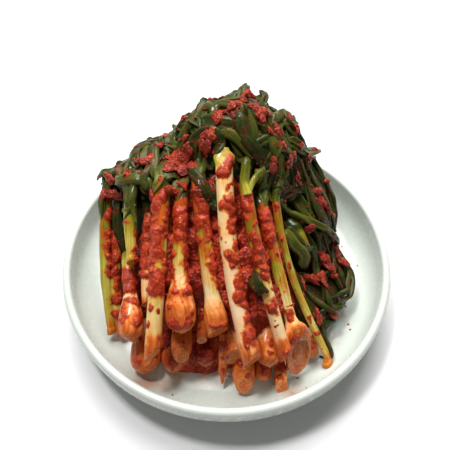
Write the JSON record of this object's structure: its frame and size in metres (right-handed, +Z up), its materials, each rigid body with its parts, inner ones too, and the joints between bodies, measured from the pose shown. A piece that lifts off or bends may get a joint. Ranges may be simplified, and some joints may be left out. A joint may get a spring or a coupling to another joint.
{
  "type": "dish of green onion kimchi",
  "caption": "Whole green onions in chilli paste, side by side with bulbs to the front and heaped under their own dark leaves, on a shallow round dish.",
  "frame": {"origin": "middle of the dish's foot, on the table it stands on", "axes": "+Z up; -Y to the front, where the bulbs lie; +X to the right"},
  "size_m": [0.18, 0.18, 0.1054],
  "materials": {
    "porcelain": "glossy pale greenish white glaze",
    "leaf": "wet, wilted dark green leaf",
    "onion": "wet white to yellow green stem, stained orange",
    "chilli_paste": "coarse wet red chilli paste"
  },
  "bodies": {
    "root": {"dish": "porcelain", "leaf_heap": "leaf", "onion_outer_left": "onion", "onion_outer_red": "onion", "onion_round_left": "onion", "onion_second_left": "onion", "onion_folded_left": "onion", "onion_slanted_cut": "onion", "onion_round_middle": "onion", "onion_flat_cut": "onion", "onion_long_white": "onion", "onion_forked": "onion", "onion_olive": "onion", "onion_hooked": "onion", "onion_right_pale": "onion", "onion_right_olive": "onion", "onion_low_left": "onion", "onion_low_stub": "onion", "onion_low_behind": "onion", "onion_low_sauced": "onion", "onion_small_shoot": "onion", "onion_low_pointed": "onion", "onion_low_end_on": "onion", "onion_mid_pale": "onion", "onion_mid_pink": "onion", "onion_low_twin": "onion", "onion_low_corner": "onion", "paste_left": "chilli_paste", "paste_top": "chilli_paste", "paste_crown": "chilli_paste"}
  },
  "joints": []
}
